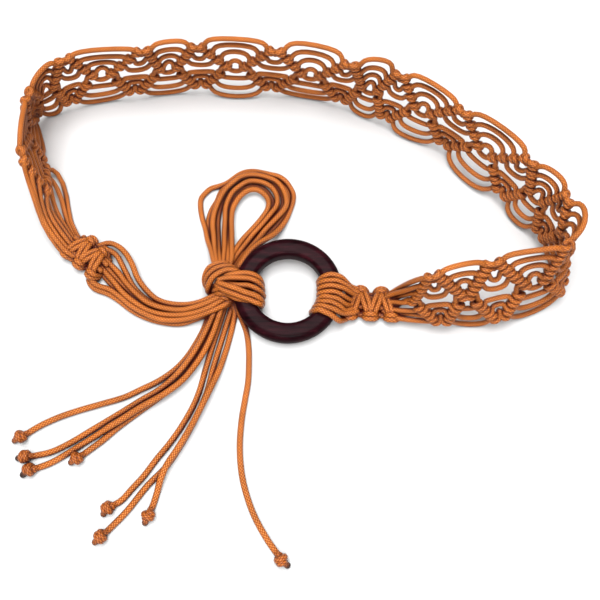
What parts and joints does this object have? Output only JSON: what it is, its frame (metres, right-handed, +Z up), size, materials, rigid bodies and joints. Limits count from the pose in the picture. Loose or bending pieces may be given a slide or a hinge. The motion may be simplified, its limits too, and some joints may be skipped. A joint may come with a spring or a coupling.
{
  "type": "braided tassel belt",
  "caption": "Waxed cord belt knotted into an open net band, folded on to a dark wooden ring, tied at it in a half bow, with loose knotted tails.",
  "frame": {"origin": "on the surface that the belt lies on, below the middle of the belt without its tails", "axes": "+Z up, +X to the right along the loop's length as the belt lies, -Y towards the side with the ring and the tails"},
  "size_m": [0.3113, 0.2882, 0.0541],
  "materials": {
    "cord": "waxed braided cotton, caramel brown, soft sheen",
    "end_knot": "waxed braided cotton, its tip singed dark",
    "ring": "dark red-brown lacquer, glossy"
  },
  "bodies": {
    "root": {"ring": "ring", "larks_heads": "cord", "right_neck": "cord", "net_gather_left": "cord", "net_motif_01": "cord", "net_motif_02": "cord", "net_motif_03": "cord", "net_motif_04": "cord", "net_motif_05": "cord", "net_motif_06": "cord", "net_motif_07": "cord", "net_motif_08": "cord", "net_motif_09": "cord", "net_motif_10": "cord", "net_motif_11": "cord", "net_motif_12": "cord", "net_motif_13": "cord", "net_gather_right": "cord", "left_neck": "cord", "strand_bundle": "cord", "tie_knot": "cord", "bow_loop": "cord", "tail_01": "cord", "end_knot_01": "end_knot", "tail_02": "cord", "end_knot_02": "end_knot", "tail_03": "cord", "end_knot_03": "end_knot", "tail_04": "cord", "end_knot_04": "end_knot", "tail_05": "cord", "end_knot_05": "end_knot", "tail_06": "cord", "end_knot_06": "end_knot", "tail_07": "cord", "end_knot_07": "end_knot", "tail_08": "cord", "end_knot_08": "end_knot"}
  },
  "joints": []
}
